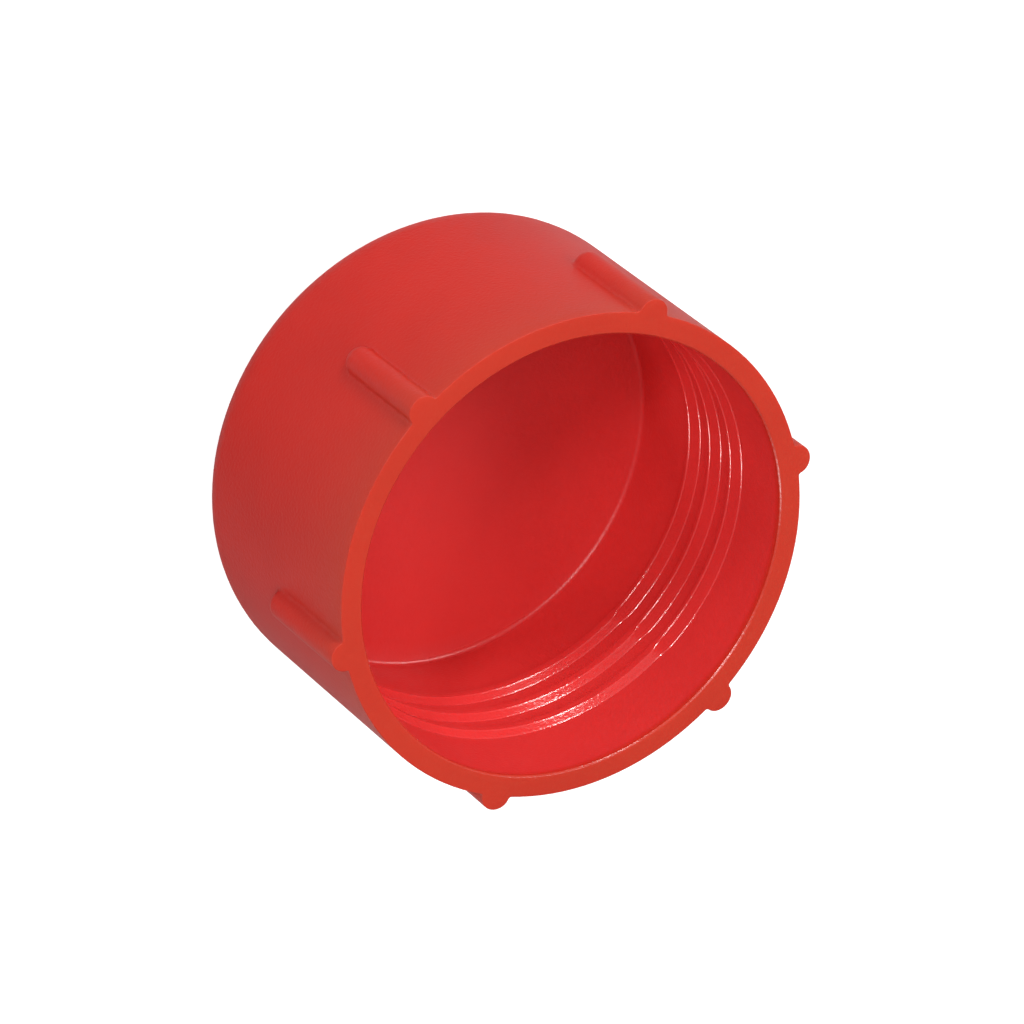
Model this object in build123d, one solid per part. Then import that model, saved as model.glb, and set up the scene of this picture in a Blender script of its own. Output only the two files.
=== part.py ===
from build123d import *
from build123d import SkipClean
import os
from math import atan2, ceil, cos, degrees, radians, tan

# Threaded protection cap, moulded in one piece. Millimetres and degrees.
# The closed end stands on Z = 0 and the mouth opens towards +Z. One grip rib lies on +X.

# Cup
bore_diameter = 20.9         # inner wall between the thread ridges
wall_thickness = 1.05        # bore wall to skirt, at the mouth
height = 13.6                # closed end to mouth rim
floor_thickness = 1.6
side_draft = 0.1             # the skirt narrows towards the closed end
core_draft = 0.75            # the bore opens out above the thread and closes in below it
end_corner_radius = 1.8      # outside, where the skirt turns into the closed end
floor_corner_radius = 0.2    # inside, where the wall meets the floor
lip_chamfer = 0.1            # inner edge of the mouth rim

# Grip ribs: half-round beads, flush with the rim, ball-ended towards the closed end
rib_count = 6
rib_radius = 0.7
rib_standout = 0.67          # crest of a rib above the skirt at the mouth
rib_length = 6.3             # rim to the tip of the ball end
rib_root_chamfer = 0.1       # slope in the corner between a rib and the skirt

# Internal thread: one right-hand start, a shallow ridge with unequal flanks
thread_pitch = 25.4 / 14
thread_turns = 3
thread_height = 0.21         # crest above the bore wall
crest_width = 0.2
lead_flank_angle = 19.5      # flank that faces the mouth, measured from the bore wall
back_flank_angle = 45.0      # flank that faces the floor, measured from the bore wall
first_crest_depth = 3.34     # mouth rim down to the middle of the crest at the mouth end of the full turns
thread_start_angle = 70.0    # from +X round to the floor end of the full turns
run_out_angle = 45.0         # turn over which each end of the ridge sinks into the wall
root_overlap = 0.15          # how deep the ridge is rooted in the wall
longest_arc = 30.0           # the ridge is built up from arcs no longer than this

# Worked out from the sizes above
bore_radius = bore_diameter / 2
outer_radius = bore_radius + wall_thickness
end_radius = outer_radius - height * tan(radians(side_draft))
crest_radius = bore_radius - thread_height
lead_run = 1 / tan(radians(lead_flank_angle))    # axial length of a flank per unit of height
back_run = 1 / tan(radians(back_flank_angle))
point_above_crest = crest_width / (lead_run + back_run)
point_height = thread_height + point_above_crest
thread_angle = 360 * thread_turns
arc_count = ceil(thread_angle / longest_arc)
arc_angle = thread_angle / arc_count
arc_rise = thread_pitch * arc_angle / 360
run_out_rise = thread_pitch * run_out_angle / 360
sinking = point_height + root_overlap            # buries the ridge's point at a run-out's end
thread_top = height - first_crest_depth
thread_bottom = thread_top - thread_pitch * thread_turns
straight_top = thread_top + run_out_rise + point_height * lead_run
straight_bottom = thread_bottom - run_out_rise - point_height * back_run


def cup():
    """The plain cup: its half section, turned about Z."""
    mouth_radius = bore_radius + (height - straight_top) * tan(radians(core_draft))
    floor_radius = bore_radius - (straight_bottom - floor_thickness) * tan(radians(core_draft))
    end_corner = (end_radius, 0)
    lip = (mouth_radius, height)
    floor_corner = (floor_radius, floor_thickness)
    outline = Polyline(
        (0, 0),
        end_corner,
        (outer_radius, height),
        lip,
        (bore_radius, straight_top),
        (bore_radius, straight_bottom),
        floor_corner,
        (0, floor_thickness),
        close=True,
    )
    section = make_face(outline)
    section = fillet(section.vertices().sort_by_distance(end_corner)[0], end_corner_radius)
    section = fillet(section.vertices().sort_by_distance(floor_corner)[0], floor_corner_radius)
    section = chamfer(section.vertices().sort_by_distance(lip)[0], lip_chamfer)
    return revolve(Plane.XZ * section, Axis.Z)


def grip_ribs():
    """The beads round the skirt, each with its inner half buried in it."""
    ball_height = height - rib_length + rib_radius
    upright = (Align.CENTER, Align.CENTER, Align.MIN)
    bead = Cylinder(rib_radius, height - ball_height, align=upright) + Sphere(rib_radius)
    bead = Pos(outer_radius + rib_standout - rib_radius, 0, ball_height) * bead
    ribs = Part()
    for number in range(rib_count):
        ribs += Rot(0, 0, number * 360 / rib_count) * bead
    return ribs


def ridge_section(radius, z):
    """The ridge's section on a wall of this radius, with the middle of its crest at z.

    It is a triangle that points at the axis and is rooted in the wall. Its point is cut
    off later, at the crest.
    """
    point_z = z - point_above_crest * (lead_run - back_run) / 2
    foot = point_height + root_overlap
    outline = Polyline(
        (radius - point_height, point_z),
        (radius + root_overlap, point_z + foot * lead_run),
        (radius + root_overlap, point_z - foot * back_run),
        close=True,
    )
    return Plane.XZ * make_face(outline)


def ridge_along(radius, z, rise, widening):
    """The ridge along a right-hand helix that starts over +X at this radius and height.

    The helix climbs by rise and widens by widening. The crest is cut to its own radius.
    """
    slope = degrees(atan2(widening, rise))
    slant_pitch = thread_pitch / cos(radians(slope))
    path = Helix(slant_pitch, rise, radius, center=(0, 0, z), cone_angle=slope)
    pointed = sweep(ridge_section(radius, z), path=path, is_frenet=True)
    upright = (Align.CENTER, Align.CENTER, Align.MIN)
    return pointed - Cylinder(crest_radius, height, align=upright)


def thread_ridge():
    """The full turns of the ridge and, at each end, a run-out that sinks into the wall.

    The arcs keep their own faces when they are joined, so that the crest is a row of
    short faces, none of which winds further round than its arc.
    """
    low_start = thread_bottom - run_out_rise
    low_end = ridge_along(bore_radius + sinking, low_start, run_out_rise, -sinking)
    high_end = ridge_along(bore_radius, thread_top, run_out_rise, sinking)
    arc = ridge_along(bore_radius, thread_bottom, arc_rise, 0)
    pieces = [
        Rot(0, 0, -run_out_angle) * low_end,
        Rot(0, 0, thread_angle) * high_end,
    ]
    for number in range(arc_count):
        pieces.append(Pos(0, 0, number * arc_rise) * Rot(0, 0, number * arc_angle) * arc)
    with SkipClean():
        ridge = Part() + pieces
    return Rot(0, 0, thread_start_angle) * ridge


def cap():
    """The whole moulding: the cup, its ribs with softened roots, and the thread."""
    plain = cup()
    ribs = grip_ribs()
    body = plain + ribs
    body = chamfer(new_edges(plain, ribs, combined=body), rib_root_chamfer)
    ridge = thread_ridge()
    with SkipClean():
        body += ridge
    return body


os.makedirs("parts", exist_ok=True)
export_step(cap(), "parts/cap.step")
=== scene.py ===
import bpy
import numpy as np
from math import cos, pi, radians, sin, tan
from mathutils import Matrix, Vector


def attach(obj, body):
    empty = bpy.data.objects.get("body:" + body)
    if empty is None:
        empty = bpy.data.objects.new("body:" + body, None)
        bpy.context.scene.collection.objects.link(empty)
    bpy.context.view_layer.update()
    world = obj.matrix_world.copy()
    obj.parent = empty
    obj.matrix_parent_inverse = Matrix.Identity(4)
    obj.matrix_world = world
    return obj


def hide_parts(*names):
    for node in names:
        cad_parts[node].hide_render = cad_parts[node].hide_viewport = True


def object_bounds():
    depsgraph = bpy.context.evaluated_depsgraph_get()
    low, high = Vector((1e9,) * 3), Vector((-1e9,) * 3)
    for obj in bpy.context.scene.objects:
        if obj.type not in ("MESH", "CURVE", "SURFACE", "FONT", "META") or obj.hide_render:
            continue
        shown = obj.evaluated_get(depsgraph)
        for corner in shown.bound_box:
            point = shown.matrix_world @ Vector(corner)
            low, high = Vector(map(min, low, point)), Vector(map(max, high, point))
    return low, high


# Threaded protection cap. Shapes are worked out in millimetres, in the frame of the packed
# part: closed end on Z = 0, mouth towards +Z, one grip rib on +X.

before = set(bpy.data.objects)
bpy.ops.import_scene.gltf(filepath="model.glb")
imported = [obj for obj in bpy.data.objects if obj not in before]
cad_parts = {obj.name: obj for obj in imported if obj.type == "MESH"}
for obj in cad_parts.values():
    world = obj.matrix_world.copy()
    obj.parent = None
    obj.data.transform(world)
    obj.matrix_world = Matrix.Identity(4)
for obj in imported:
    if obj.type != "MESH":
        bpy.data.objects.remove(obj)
cadLow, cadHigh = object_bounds()
mm = 0.001
height = cadHigh[2] / mm
skirtRadius = cadHigh[1] / mm
print("frame loaded: cap", round(height, 2), "mm high,", round(2 * skirtRadius, 2), "mm across")


def softMin(a, b, blend):
    # smaller of the two with a rounded corner: half of the sum less the root of the
    # squared difference plus the squared blend
    return (a + b - np.sqrt((a - b) ** 2 + blend ** 2)) / 2


def softMax(a, b, blend):
    # larger of the two, rounded the same way
    return (a + b + np.sqrt((a - b) ** 2 + blend ** 2)) / 2


def crowded(start, stop, count, marks, reach, crowding=9, fineSteps=4000):
    # count + 1 values from start to stop, closer together round the marks: a running sum
    # of one plus a bell curve for each mark, read backwards at even steps
    fine = np.linspace(start, stop, fineSteps)
    weight = np.ones_like(fine)
    for mark in marks:
        weight += crowding * np.exp(-((fine - mark) / reach) ** 2)
    running = np.concatenate(([0], np.cumsum((weight[1:] + weight[:-1]) / 2)))
    return np.interp(np.linspace(0, running[-1], count + 1), running, fine)


cupSizes = {
    "floorThickness": 1.6,
    "boreRadius": 10.45,        # between the thread ridges
    "sideDraft": 0.1,           # degrees, outside, narrowing to the closed end
    "coreDraft": 0.75,          # degrees, inside, above and below the thread
    "endCornerRadius": 1.8,     # outside, skirt to closed end
    "floorCornerRadius": 0.2,   # inside, wall to floor
    "rimEdgeRadius": 0.03,      # outer edge of the rim
    "lipChamfer": 0.07,         # inner edge of the rim
    "lipRounding": 0.03,        # where the chamfer meets the rim and the wall
    "gateRadius": 1.1,          # shallow dimple in the closed end, with the gate's scar in it
    "gateDepth": 0.15,
    "gateBlend": 0.05,          # softness of the dimple's edge
    "scarRadius": 0.45,
    "scarHeight": 0.1,
    "scarBlend": 0.03,
}

ribSizes = {
    "count": 6,
    "radius": 0.7,
    "standout": 0.67,           # crest above the skirt at the mouth
    "length": 6.3,              # rim to the tip of the ball end
    "rootRadius": 0.12,
    "reach": 1.25,              # the skirt's grid is bent towards a rib this far from its middle
}

threadSizes = {
    "pitch": 25.4 / 14,
    "turns": 3,
    "ridgeHeight": 0.21,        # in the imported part
    "firstCrestDepth": 3.34,    # rim to the middle of the crest at the mouth end
    "crestWidth": 0.2,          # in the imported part
    "leadFlank": 19.5,          # degrees from the wall, the flank that faces the mouth
    "backFlank": 45.0,
    "startAngle": 70.0,         # degrees from +X, floor end of the full turns
    "runOut": 45.0,             # degrees over which each end sinks into the wall
    "rootOverlap": 0.15,        # how deep the ridge's root lies in the wall
    "partingAngle": 240.0,      # the ridge's section changes here and half a turn away
    "partingBlend": 0.012,      # in the sine of the angle from there
    "edgeBlend": 0.02,          # rounding of the crest's edges and the ridge's feet
    "stepBlend": 0.009,         # softness of the little steps on the front flank
}

# places along the axis, from the middle of the crest: foot and edge of the back flank,
# then edge and foot of the flank that faces the mouth, in the two halves of the mould
ridgePlaces = {
    "gentle": (-0.31, -0.10, 0.08, 0.79),
    "steep": (-0.37, -0.10, 0.30, 0.65),
}
ridgeHeights = {"gentle": 0.21, "steep": 0.27}
stepHeights = {"gentle": 0.045, "steep": 0.022}     # little steps at both ends of that flank

# how smooth the surface is, from 0 on the grained wall to 1 on the thread's small steps
smoothness = {
    "flank": 0.78,              # the thread's front flank
    "stepReach": 0.03,          # either side of a step
    "lip": 0.5,
    "floorCorner": 0.5,
    "floorCornerAngle": 210.0,  # degrees from +X, the middle of the corner's smooth side
    "floorCornerSpread": 45.0,
}

gridSizes = {
    "ribColumns": 32,
    "gapColumns": 17,
    "gateRows": 18,
    "endCornerRows": 14,
    "ballRows": 25,
    "rimEdgeRows": 5,
    "rimRows": 5,
    "lipSteps": 3,              # in each of the lip's two roundings
    "fillRows": 5,              # between the lip and the thread, and below the thread
    "floorCornerRows": 7,
    "floorRows": 11,
}


def columnAngles():
    # angles from the thread's start once round, close together across the ribs
    ribHalf = ribSizes["reach"] / skirtRadius
    pitchAngle = 2 * pi / ribSizes["count"]
    acrossRib = np.linspace(-ribHalf, ribHalf, gridSizes["ribColumns"] + 1)[:-1]
    acrossGap = np.linspace(ribHalf, pitchAngle - ribHalf, gridSizes["gapColumns"] + 1)[:-1]
    oneRib = np.concatenate((acrossRib, acrossGap))
    angles = (oneRib[None, :] + pitchAngle * np.arange(ribSizes["count"])[:, None]).ravel()
    first = np.argmin(np.abs(angles - radians(threadSizes["startAngle"])))
    angles = np.concatenate((angles[first:], angles[:first] + 2 * pi))
    return np.append(angles, angles[0] + 2 * pi)


angles = columnAngles()
turned = (angles - angles[0]) / (2 * pi)        # 0 to 1 once round from the thread's start
turned[-1] = 1
ones = np.ones_like(angles)


def skirtAt(z):
    # cone: mouth radius less the depth below the mouth times the tangent of the draft
    return skirtRadius - (height - z) * tan(radians(cupSizes["sideDraft"]))


def threadLevels():
    # the ridge's point above its crest, its run-out's sinking, and the heights that the
    # thread and its straight wall run between
    leadRun = 1 / tan(radians(threadSizes["leadFlank"]))
    backRun = 1 / tan(radians(threadSizes["backFlank"]))
    pointHeight = threadSizes["ridgeHeight"] + threadSizes["crestWidth"] / (leadRun + backRun)
    top = height - threadSizes["firstCrestDepth"]
    bottom = top - threadSizes["pitch"] * threadSizes["turns"]
    runOutRise = threadSizes["pitch"] * threadSizes["runOut"] / 360
    return {
        "bottom": bottom,
        "sinking": pointHeight + threadSizes["rootOverlap"],
        "straightTop": top + runOutRise + pointHeight * leadRun,
        "straightBottom": bottom - runOutRise - pointHeight * backRun,
    }


levels = threadLevels()


def wallAt(z):
    # inner wall without the thread: straight along the thread, a cone of the core's draft
    # above it and below it
    draft = tan(radians(cupSizes["coreDraft"]))
    above = np.maximum(z - levels["straightTop"], 0) * draft
    below = np.maximum(levels["straightBottom"] - z, 0) * draft
    return cupSizes["boreRadius"] + above - below


def ridgeRows(places):
    # rows along the axis over one pitch: seven close together at each edge and foot of the
    # ridge, three between them, and five on each side of the ridge
    close = np.array([-0.05, -0.023, -0.009, 0, 0.009, 0.023, 0.05])
    half = threadSizes["pitch"] / 2
    rows = [np.linspace(-half, places[0] - 0.08, 5)]
    for place, after in zip(places[:-1], places[1:]):
        rows.append(place + close)
        rows.append(np.linspace(place + close[-1], after + close[0], 5)[1:-1])
    rows.append(places[-1] + close)
    rows.append(np.linspace(places[-1] + 0.07, half, 5))
    return np.concatenate(rows)


def ridgeHalves():
    # 1 on the gentle half of the mould and 0 on the steep half: a logistic step in the
    # sine of the angle from the parting line
    side = np.sin(angles - radians(threadSizes["partingAngle"]))
    side[-1] = side[0]
    return 1 / (1 + np.exp(-side / threadSizes["partingBlend"]))


def ridgeShape(strip, along, gentle):
    # height of the ridge above the wall at a place along the axis. The front flank is a
    # straight ramp with a small logistic step at its foot and another at its edge; the
    # ridge is the lower of that and the back flank. At each end of the thread all of it
    # sinks with the turn past that end, and below the wall nothing is left. The second
    # value is how smooth the surface is: an even value on the front flank, and up to 1 in
    # a bell curve on each of its two steps.
    backFoot, backEdge, leadEdge, leadFoot = (
        steep + (soft - steep) * gentle
        for steep, soft in zip(ridgePlaces["steep"], ridgePlaces["gentle"]))
    step = stepHeights["steep"] + (stepHeights["gentle"] - stepHeights["steep"]) * gentle
    high = ridgeHeights["steep"] + (ridgeHeights["gentle"] - ridgeHeights["steep"]) * gentle
    travelled = (strip + turned) * 360
    past = np.maximum(np.maximum(-travelled, travelled - 360 * threadSizes["turns"]), 0)
    sunk = levels["sinking"] * past / threadSizes["runOut"]
    blend = threadSizes["edgeBlend"]
    flank = (leadFoot - along) / (leadFoot - leadEdge)
    ramp = softMin(flank, 1, blend) * (high - 2 * step)
    smooth = np.where((flank > 0) & (flank < 1), smoothness["flank"], 0)
    for place in (leadEdge, leadFoot):
        ramp = ramp + step / (1 + np.exp((along - place) / threadSizes["stepBlend"]))
        bell = np.exp(-((along - place) / smoothness["stepReach"]) ** 2)
        smooth = np.maximum(smooth, bell)
    back = high * (along - backFoot) / (backEdge - backFoot)
    ridge = softMax(softMin(ramp, back, blend) - sunk, 0, blend / 2)
    smooth = smooth * np.clip(1 - past / threadSizes["runOut"], 0, 1)
    return np.where(past < threadSizes["runOut"], ridge, 0), smooth


def ribSection():
    # half of a rib's section as two tables against the distance along it: how far from the
    # middle, and how high above the skirt. An arc of the rib's radius down from the crest,
    # an arc of the root's radius the other way to the skirt, then flat out to the reach.
    radius = ribSizes["radius"]
    root = ribSizes["rootRadius"]
    swing = np.arccos(root / (radius + root))
    down = np.linspace(0, swing, 40)
    out = np.linspace(swing, 0, 12)
    rootMiddle = (radius + root) * sin(swing)       # of the root's circle, from the middle
    across = np.concatenate((radius * np.sin(down), rootMiddle - root * np.sin(out)))
    lift = np.concatenate((radius * np.cos(down), root - root * np.cos(out)))
    across = np.append(across, ribSizes["reach"])
    lift = np.append(lift, 0)
    steps = np.hypot(np.diff(across), np.diff(lift))
    travel = np.concatenate(([0], np.cumsum(steps)))
    return travel / travel[-1] * ribSizes["reach"], across, lift


def skirtPoints(z):
    # outside surface on a grid of heights and angles. Round each rib's middle line a point
    # slides away from it and lifts off the skirt as the rib's section says; past the
    # line's lower end the distance is from that end, which makes the ball.
    heights, around = np.meshgrid(z, angles, indexing="ij")
    spacing = 2 * pi / ribSizes["count"]
    fromRib = (around + spacing / 2) % spacing - spacing / 2
    middle = around - fromRib
    sideways = fromRib * skirtRadius
    ballHeight = height - ribSizes["length"] + ribSizes["radius"]
    downwards = np.minimum(heights - ballHeight, 0)
    distance = np.hypot(sideways, downwards)
    travel, across, lift = ribSection()
    inside = distance < ribSizes["reach"]
    slide = np.where(inside, np.interp(distance, travel, across) - distance, 0)
    raised = np.where(inside, np.interp(distance, travel, lift), 0)
    safe = np.maximum(distance, 1e-9)
    sideways = sideways + slide * sideways / safe
    heights = heights + slide * downwards / safe
    crest = skirtRadius + ribSizes["standout"]
    toCrest = (crest - ribSizes["radius"] - skirtAt(heights)) * raised / ribSizes["radius"]
    radius = skirtAt(heights) + raised + toCrest
    turn = middle + sideways / skirtRadius
    return np.stack((radius * np.cos(turn), radius * np.sin(turn), heights), axis=-1)


# how far the lip reaches, across the rim and down the wall alike: the chamfer and the
# tangent length of a rounding
lipReach = cupSizes["lipChamfer"] + cupSizes["lipRounding"] * tan(pi / 8)


def turnedPoints(radius, z):
    # a profile turned about Z: rows of radius and height against the angles
    radius = np.asarray(radius, float)
    z = np.asarray(z, float)
    radius = radius[:, None] * ones if radius.ndim == 1 else radius
    z = z[:, None] * ones if z.ndim == 1 else z
    across = np.cos(angles)
    along = np.sin(angles)
    across[-1] = across[0]
    along[-1] = along[0]
    return np.stack((radius * across, radius * along, z), axis=-1)


def closedEnd():
    # from the middle of the closed end out to the skirt: a dimple with a low round scar
    # inside it, each a logistic step in the radius, then the flat, and the corner as a
    # quarter circle
    corner = cupSizes["endCornerRadius"]
    endRadius = skirtAt(0)
    gate = cupSizes["gateRadius"]
    scar = cupSizes["scarRadius"]
    flatStart = gate * 1.3
    radius = np.concatenate((
        crowded(0, flatStart, gridSizes["gateRows"], (scar, gate), 0.12),
        np.linspace(flatStart, endRadius - corner, 8)[1:],
    ))
    dimple = 1 / (1 + np.exp((radius - gate) / cupSizes["gateBlend"]))
    bump = 1 / (1 + np.exp((radius - scar) / cupSizes["scarBlend"]))
    z = cupSizes["gateDepth"] * dimple - cupSizes["scarHeight"] * bump
    bend = np.linspace(0, pi / 2, gridSizes["endCornerRows"] + 1)[1:]
    cornerRadius = skirtAt(corner) - corner + corner * np.sin(bend)
    cornerHeight = corner - corner * np.cos(bend)
    return turnedPoints(np.append(radius, cornerRadius), np.append(z, cornerHeight))


def skirt():
    # rows up the outside, close together over the ball ends of the ribs
    ballHeight = height - ribSizes["length"] + ribSizes["radius"]
    lowest = ballHeight - ribSizes["reach"]
    z = np.concatenate((
        np.linspace(cupSizes["endCornerRadius"], lowest, 7)[1:],
        np.linspace(lowest, ballHeight, gridSizes["ballRows"] + 1)[1:],
        np.linspace(ballHeight, height - cupSizes["rimEdgeRadius"], 9)[1:],
    ))
    return skirtPoints(z)


def rim(outline):
    # from the skirt's top outline a quarter circle inwards along the outline's own normal,
    # flat across to the lip, and the lip's chamfer down into the bore with an eighth of a
    # circle at each end of it
    tangent = np.gradient(outline[:, :2], axis=0)
    tangent[0] = tangent[-1] = outline[1, :2] - outline[-2, :2]
    inward = np.stack((-tangent[:, 1], tangent[:, 0]), axis=-1)
    inward /= np.linalg.norm(inward, axis=1, keepdims=True)
    edge = cupSizes["rimEdgeRadius"]
    bend = np.linspace(0, pi / 2, gridSizes["rimEdgeRows"] + 1)[1:, None, None]
    flat = outline[None, :, :2] + inward[None] * edge * (1 - np.cos(bend))
    edgeHeight = (height - edge + edge * np.sin(bend)) * np.ones((1, len(angles), 1))
    edgePoints = np.concatenate((flat, edgeHeight), axis=-1)
    rounding = cupSizes["lipRounding"]
    lipStart = (wallAt(height) + lipReach) * np.stack((np.cos(angles), np.sin(angles)), axis=-1)
    share = np.linspace(0, 1, gridSizes["rimRows"] + 1)[1:, None, None]
    across = flat[-1:] * (1 - share) + lipStart[None] * share
    acrossPoints = np.concatenate((across, np.full(across.shape[:2] + (1,), height)), axis=-1)
    upper = np.linspace(0, pi / 4, gridSizes["lipSteps"] + 1)[1:]
    lower = np.linspace(pi / 4, pi / 2, gridSizes["lipSteps"] + 1)
    outwards = np.concatenate((
        lipReach - rounding * np.sin(upper),
        rounding - rounding * np.sin(lower),
    ))
    z = np.concatenate((
        height - rounding + rounding * np.cos(upper),
        height - lipReach + rounding * np.cos(lower),
    ))
    lipPoints = turnedPoints(wallAt(z) + outwards, z)
    return np.concatenate((edgePoints, acrossPoints, lipPoints))


def bore():
    # the inner wall from the lip down to the floor's corner. Round the thread the rows
    # climb with the helix, one pitch to a strip, and each row keeps to one edge or foot of
    # the ridge. The strips above and below the full turns are cut off at two level lines
    # that rise or fall only near the thread's ends, and level rows fill the rest. On the
    # cut rows nothing of the ridge is left, so that they fall together.
    pitch = threadSizes["pitch"]
    turns = threadSizes["turns"]
    gentle = ridgeHalves()
    along = ridgeRows(ridgePlaces["steep"])[-2::-1, None] * (1 - gentle)
    along = along + ridgeRows(ridgePlaces["gentle"])[-2::-1, None] * gentle
    farthest = 0.35             # of a pitch, how far the cut lines rise or fall
    edge = np.minimum(np.minimum(turned, farthest), (1 - turned) * 0.5)
    ceiling = levels["bottom"] + pitch * (turns + 0.5) + pitch * edge
    edge = np.minimum(np.minimum(1 - turned, farthest), turned * 0.5)
    cellar = levels["bottom"] - pitch * 0.5 - pitch * edge
    hair = 0.001                # rows nearer than this to a cut line lie on it
    share = np.linspace(0, 1, gridSizes["fillRows"] + 1)[1:, None]
    lipLevel = height - lipReach
    heights = [lipLevel + (ceiling - lipLevel) * share]
    ridges = [np.zeros_like(heights[0])]
    shines = [np.zeros_like(heights[0])]
    for strip in range(turns, -2, -1):
        z = levels["bottom"] + pitch * (strip + turned) + along
        ridge, smooth = ridgeShape(strip, along, gentle)
        heights.append(np.clip(z, cellar, ceiling))
        ridges.append(ridge * (z > cellar + hair) * (z < ceiling - hair))
        shines.append(smooth)
    floorTop = cupSizes["floorThickness"] + cupSizes["floorCornerRadius"]
    heights.append(cellar + (floorTop - cellar) * share[1:])
    ridges.append(np.zeros_like(heights[-1]))
    shines.append(np.zeros_like(heights[-1]))
    z = np.concatenate(heights)
    return turnedPoints(wallAt(z) - np.concatenate(ridges), z), np.concatenate(shines)


def innerFloor():
    # quarter circle into the floor, and the floor in to its middle
    corner = cupSizes["floorCornerRadius"]
    floor = cupSizes["floorThickness"]
    bend = np.linspace(0, pi / 2, gridSizes["floorCornerRows"] + 1)[1:]
    cornerRadius = wallAt(floor + corner) - corner + corner * np.cos(bend)
    radius = np.linspace(cornerRadius[-1], 0, gridSizes["floorRows"] + 1)[1:]
    z = np.append(floor + corner - corner * np.sin(bend), np.full(len(radius), floor))
    return turnedPoints(np.append(cornerRadius, radius), z)


plasticLook = {
    "outside": (0.61, 0.011, 0.004),
    "outsideDarker": (0.56, 0.009, 0.003),
    # painted sheen: the rim and the outside just below it get an oranger tint that stands in for
    # light falling on the rim's face
    "rim": (0.54, 0.034, 0.015),
    "rimDarker": (0.50, 0.029, 0.013),
    # painted light: the bore and floor get a brighter, deeper crimson that stands in for light
    # bounced round the cavity
    "inside": (0.72, 0.040, 0.038),
    "insideDarker": (0.67, 0.034, 0.034),
    "rimSheenFade": 3.0,            # millimetres, how far the rim's painted sheen runs down the outside
    "roughness": 0.40,
    "edgeRoughness": 0.12,      # on the steps of the thread's front flanks
    "specular": 0.31,
    "edgeSpecular": 1.0,
    "ior": 1.51,
    "depthShare": 0.2,          # share of the light that goes into the plastic
    "depth": 0.0012,            # metres, how far the red of it travels
    "depthColors": (1.0, 0.12, 0.08),
    "cloudScale": 160.0,        # per metre
    "cloudDetail": 3.0,
    "cloudRange": (0.35, 0.75),
    "grainScale": 6500.0,
    "grainDetail": 2.0,
    "grainStrength": 0.5,
    "grainDepth": 0.000035,     # metres
    "edgeGrainDepth": 0.000032,
}


def capMesh():
    # the whole surface as one grid of rows and angles, from the middle of the closed end
    # up the outside, over the rim, down the bore and in to the middle of the floor
    wall, wallSmooth = bore()
    outside = np.concatenate((closedEnd(), skirt()))
    outside = np.concatenate((outside, rim(outside[-1])))
    points = np.concatenate((outside, wall, innerFloor()))
    rows, columns = points.shape[:2]
    wallStart = len(outside)
    wallStop = wallStart + len(wall)
    shine = np.zeros((rows, columns))
    lipRows = 2 * gridSizes["lipSteps"] + 1
    shine[wallStart - lipRows:wallStart] = smoothness["lip"]
    shine[wallStart:wallStop] = wallSmooth
    # the floor's corner is smoothest on one side: a bell curve over the angle
    aside = angles - radians(smoothness["floorCornerAngle"])
    bell = np.exp(-(aside / radians(smoothness["floorCornerSpread"])) ** 2)
    cornerStop = wallStop + gridSizes["floorCornerRows"]
    shine[wallStop:cornerStop] = smoothness["floorCorner"] * bell
    # painted light: 1 on the bore and floor, where the brighter crimson stands in for light
    # bounced round the cavity
    inside = np.zeros((rows, columns))
    inside[wallStart:] = 1
    # the rim's painted sheen, an oranger tint, falls off exponentially down the outside
    rimSheenShare = np.zeros((rows, columns))
    rimSheenShare[:wallStart] = np.exp((outside[..., 2] - height) / plasticLook["rimSheenFade"])
    # points that lie on each other, at the seam, the middles and the cut strips, are one
    _, first, place = np.unique(
        np.round(points.reshape(-1, 3), 5), axis=0, return_index=True, return_inverse=True)
    place = place.reshape(rows, columns)
    corners = np.stack((place[:-1, :-1], place[:-1, 1:], place[1:, 1:], place[1:, :-1]), axis=-1)
    corners = corners.reshape(-1, 4)
    repeats = corners == np.roll(corners, 1, axis=1)
    kept = repeats.sum(axis=1)
    quads = corners[kept == 0]
    triangles = corners[kept == 1][~repeats[kept == 1]].reshape(-1, 3)
    mesh = bpy.data.meshes.new("cap")
    mesh.from_pydata(points.reshape(-1, 3)[first] * mm, [], quads.tolist() + triangles.tolist())
    for name, values in (("inside", inside), ("rim", rimSheenShare), ("shine", shine)):
        data = mesh.attributes.new(name, "FLOAT", "POINT").data
        data.foreach_set("value", values.ravel()[first])
    mesh.shade_smooth()
    mesh.validate()
    count = 2 * len(quads) + len(triangles)
    print("cap mesh:", len(mesh.vertices), "points,", count, "triangles")
    return mesh


def shaderNode(nodes, kind, **sockets):
    # a new node with plain values on the sockets named
    node = nodes.new(kind)
    for name, value in sockets.items():
        node.inputs[name.replace("_", " ")].default_value = value
    return node


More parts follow.
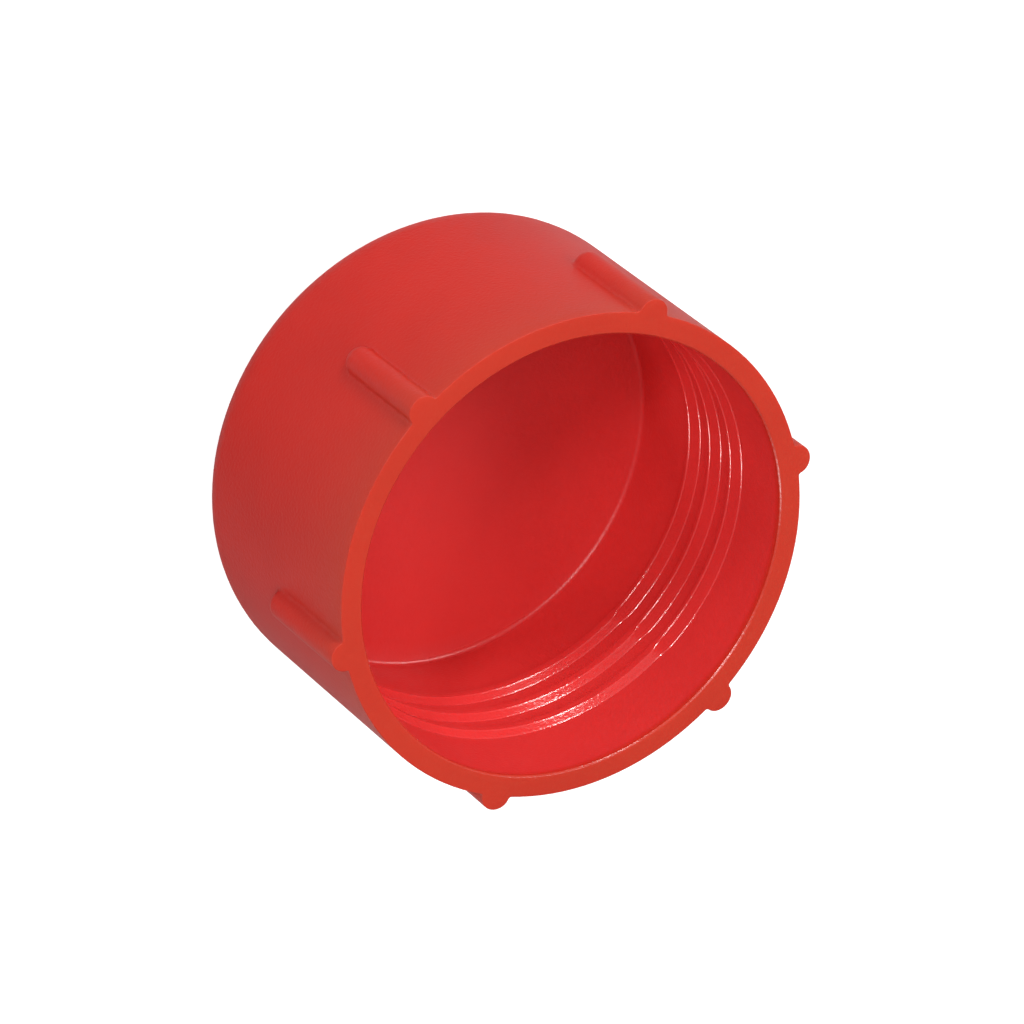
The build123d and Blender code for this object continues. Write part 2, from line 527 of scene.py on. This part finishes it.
def mouldedPlastic():
    # a clouded base colour with painted light mixed in by the "rim" and "inside" attributes: an
    # oranger painted sheen on the rim and a brighter crimson inside for light bounced round the
    # cavity; and a fine grain. The "shine" attribute takes roughness, gloss and grain from the
    # wall's to the steps'
    material = bpy.data.materials.new("mouldedPlastic")
    material.use_nodes = True
    nodes = material.node_tree.nodes
    links = material.node_tree.links
    shader = nodes["Principled BSDF"]
    grainBump = shaderNode(nodes, "ShaderNodeBump", Strength=plasticLook["grainStrength"])
    shine = nodes.new("ShaderNodeAttribute")
    shine.attribute_name = "shine"
    for onWall, onEdge, socket in (
            ("roughness", "edgeRoughness", shader.inputs["Roughness"]),
            ("specular", "edgeSpecular", shader.inputs["Specular IOR Level"]),
            ("grainDepth", "edgeGrainDepth", grainBump.inputs["Distance"])):
        between = shaderNode(
            nodes, "ShaderNodeMapRange", To_Min=plasticLook[onWall], To_Max=plasticLook[onEdge])
        links.new(shine.outputs["Fac"], between.inputs["Value"])
        links.new(between.outputs["Result"], socket)
    shader.inputs["IOR"].default_value = plasticLook["ior"]
    shader.inputs["Subsurface Weight"].default_value = plasticLook["depthShare"]
    shader.inputs["Subsurface Radius"].default_value = plasticLook["depthColors"]
    shader.inputs["Subsurface Scale"].default_value = plasticLook["depth"]
    place = nodes.new("ShaderNodeTexCoord")
    cloud = shaderNode(
        nodes, "ShaderNodeTexNoise",
        Scale=plasticLook["cloudScale"], Detail=plasticLook["cloudDetail"])
    low, high = plasticLook["cloudRange"]
    share = shaderNode(nodes, "ShaderNodeMapRange", From_Min=low, From_Max=high)
    links.new(place.outputs["Object"], cloud.inputs["Vector"])
    links.new(cloud.outputs["Fac"], share.inputs["Value"])
    color = None
    # the outside's plain colour first, then the rim's painted sheen and the inside's painted
    # cavity light mixed over it
    for side in ("outside", "rim", "inside"):
        tint = shaderNode(nodes, "ShaderNodeMix")
        tint.data_type = "RGBA"
        tint.inputs["A"].default_value = (*plasticLook[side], 1)
        tint.inputs["B"].default_value = (*plasticLook[side + "Darker"], 1)
        links.new(share.outputs["Result"], tint.inputs["Factor"])
        if color is None:
            color = tint
            continue
        where = nodes.new("ShaderNodeAttribute")
        where.attribute_name = side
        both = nodes.new("ShaderNodeMix")
        both.data_type = "RGBA"
        links.new(where.outputs["Fac"], both.inputs["Factor"])
        links.new(color.outputs["Result"], both.inputs["A"])
        links.new(tint.outputs["Result"], both.inputs["B"])
        color = both
    links.new(color.outputs["Result"], shader.inputs["Base Color"])
    grain = shaderNode(
        nodes, "ShaderNodeTexNoise",
        Scale=plasticLook["grainScale"], Detail=plasticLook["grainDetail"])
    links.new(place.outputs["Object"], grain.inputs["Vector"])
    links.new(grain.outputs["Fac"], grainBump.inputs["Height"])
    links.new(grainBump.outputs["Normal"], shader.inputs["Normal"])
    return material


cap = bpy.data.objects.new("mouldedCap", capMesh())
bpy.context.scene.collection.objects.link(cap)
cap.data.materials.append(mouldedPlastic())
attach(cap, "root")
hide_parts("cap")
print("cap made")


stageLook = {
    "floorReach": 2.0,          # metres each way
    "floorColor": (0.5, 0.5, 0.5),
    "floorGlow": 0.82,          # added where the camera sees the floor
    "worldLight": 0.31,         # the camera itself sees the world at 1, as white
}


def whiteFloor():
    # a pale matte square that takes the cap's shadow; the camera sees it with a glow added
    far = stageLook["floorReach"]
    mesh = bpy.data.meshes.new("studioFloor")
    corners = [(-far, -far, 0), (far, -far, 0), (far, far, 0), (-far, far, 0)]
    mesh.from_pydata(corners, [], [(0, 1, 2, 3)])
    floor = bpy.data.objects.new("studioFloor", mesh)
    bpy.context.scene.collection.objects.link(floor)
    material = bpy.data.materials.new("paleFloor")
    material.use_nodes = True
    nodes = material.node_tree.nodes
    links = material.node_tree.links
    nodes.remove(nodes["Principled BSDF"])
    matte = nodes.new("ShaderNodeBsdfDiffuse")
    matte.inputs["Color"].default_value = (*stageLook["floorColor"], 1)
    glow = nodes.new("ShaderNodeEmission")
    path = nodes.new("ShaderNodeLightPath")
    strength = nodes.new("ShaderNodeMath")
    strength.operation = "MULTIPLY"
    strength.inputs[1].default_value = stageLook["floorGlow"]
    both = nodes.new("ShaderNodeAddShader")
    links.new(path.outputs["Is Camera Ray"], strength.inputs[0])
    links.new(strength.outputs["Value"], glow.inputs["Strength"])
    links.new(matte.outputs["BSDF"], both.inputs[0])
    links.new(glow.outputs["Emission"], both.inputs[1])
    links.new(both.outputs["Shader"], nodes["Material Output"].inputs["Surface"])
    mesh.materials.append(material)


def studioWorld():
    world = bpy.data.worlds.new("studioWorld")
    world.use_nodes = True
    nodes = world.node_tree.nodes
    links = world.node_tree.links
    path = nodes.new("ShaderNodeLightPath")
    strength = nodes.new("ShaderNodeMapRange")
    strength.inputs["To Min"].default_value = stageLook["worldLight"]
    strength.inputs["To Max"].default_value = 1.0
    links.new(path.outputs["Is Camera Ray"], strength.inputs["Value"])
    links.new(strength.outputs["Result"], nodes["Background"].inputs["Strength"])
    nodes["Background"].inputs["Color"].default_value = (1, 1, 1, 1)
    bpy.context.scene.world = world


cameraPlace = {
    "aim": (1.01, 2.43, 11.51),     # millimetres
    "azimuth": 64.4,                # degrees from +X round to where the camera stands
    "elevation": 51.49,
    "distance": 322.0,
    "roll": 128.47,                 # the camera is turned this far about its line of sight
    "lens": 259.57,
    "sensor": 36.0,
}


def direction(azimuth, elevation):
    # unit vector from the cap, azimuth in degrees from +X, elevation from the floor
    flat = cos(radians(elevation))
    turn = radians(azimuth)
    return Vector((flat * cos(turn), flat * sin(turn), sin(radians(elevation))))


def studioCamera():
    camera = bpy.data.objects.new("studioCamera", bpy.data.cameras.new("studioCamera"))
    bpy.context.scene.collection.objects.link(camera)
    camera.data.lens = cameraPlace["lens"]
    camera.data.sensor_width = cameraPlace["sensor"]
    camera.data.clip_start = 0.01
    camera.data.clip_end = 10
    towards = direction(cameraPlace["azimuth"], cameraPlace["elevation"])
    place = (Vector(cameraPlace["aim"]) + cameraPlace["distance"] * towards) * mm
    turn = (-towards).to_track_quat("-Z", "Y").to_matrix().to_4x4()
    roll = Matrix.Rotation(radians(cameraPlace["roll"]), 4, "Z")
    camera.matrix_world = Matrix.Translation(place) @ turn @ roll
    bpy.context.scene.camera = camera


# azimuth and elevation in degrees seen from the cap, distance and size in millimetres, watts
lamps = {
    "keyLamp": {"azimuth": 10, "elevation": 25, "distance": 400, "size": 100, "watts": 0.55},
    "topLamp": {"azimuth": 62, "elevation": 62, "distance": 400, "size": 220, "watts": 0.42},
    "backLamp": {"azimuth": -40, "elevation": 50, "distance": 400, "size": 160, "watts": 0.62},
    "fillLamp": {"azimuth": 150, "elevation": 30, "distance": 400, "size": 60, "watts": 0.27},
    "leftLamp": {"azimuth": 70, "elevation": 36, "distance": 400, "size": 50, "watts": 0.42},
}


def studioLamps():
    for name, lamp in lamps.items():
        light = bpy.data.lights.new(name, "AREA")
        light.shape = "DISK"
        light.size = lamp["size"] * mm
        light.energy = lamp["watts"]
        item = bpy.data.objects.new(name, light)
        bpy.context.scene.collection.objects.link(item)
        towards = direction(lamp["azimuth"], lamp["elevation"])
        place = (Vector((0, 0, height / 2)) + lamp["distance"] * towards) * mm
        turn = towards.to_track_quat("Z", "Y").to_matrix().to_4x4()
        item.matrix_world = Matrix.Translation(place) @ turn


whiteFloor()
studioWorld()
studioCamera()
studioLamps()
bpy.context.scene.view_settings.view_transform = "Standard"
print("stage, camera and lamps set")
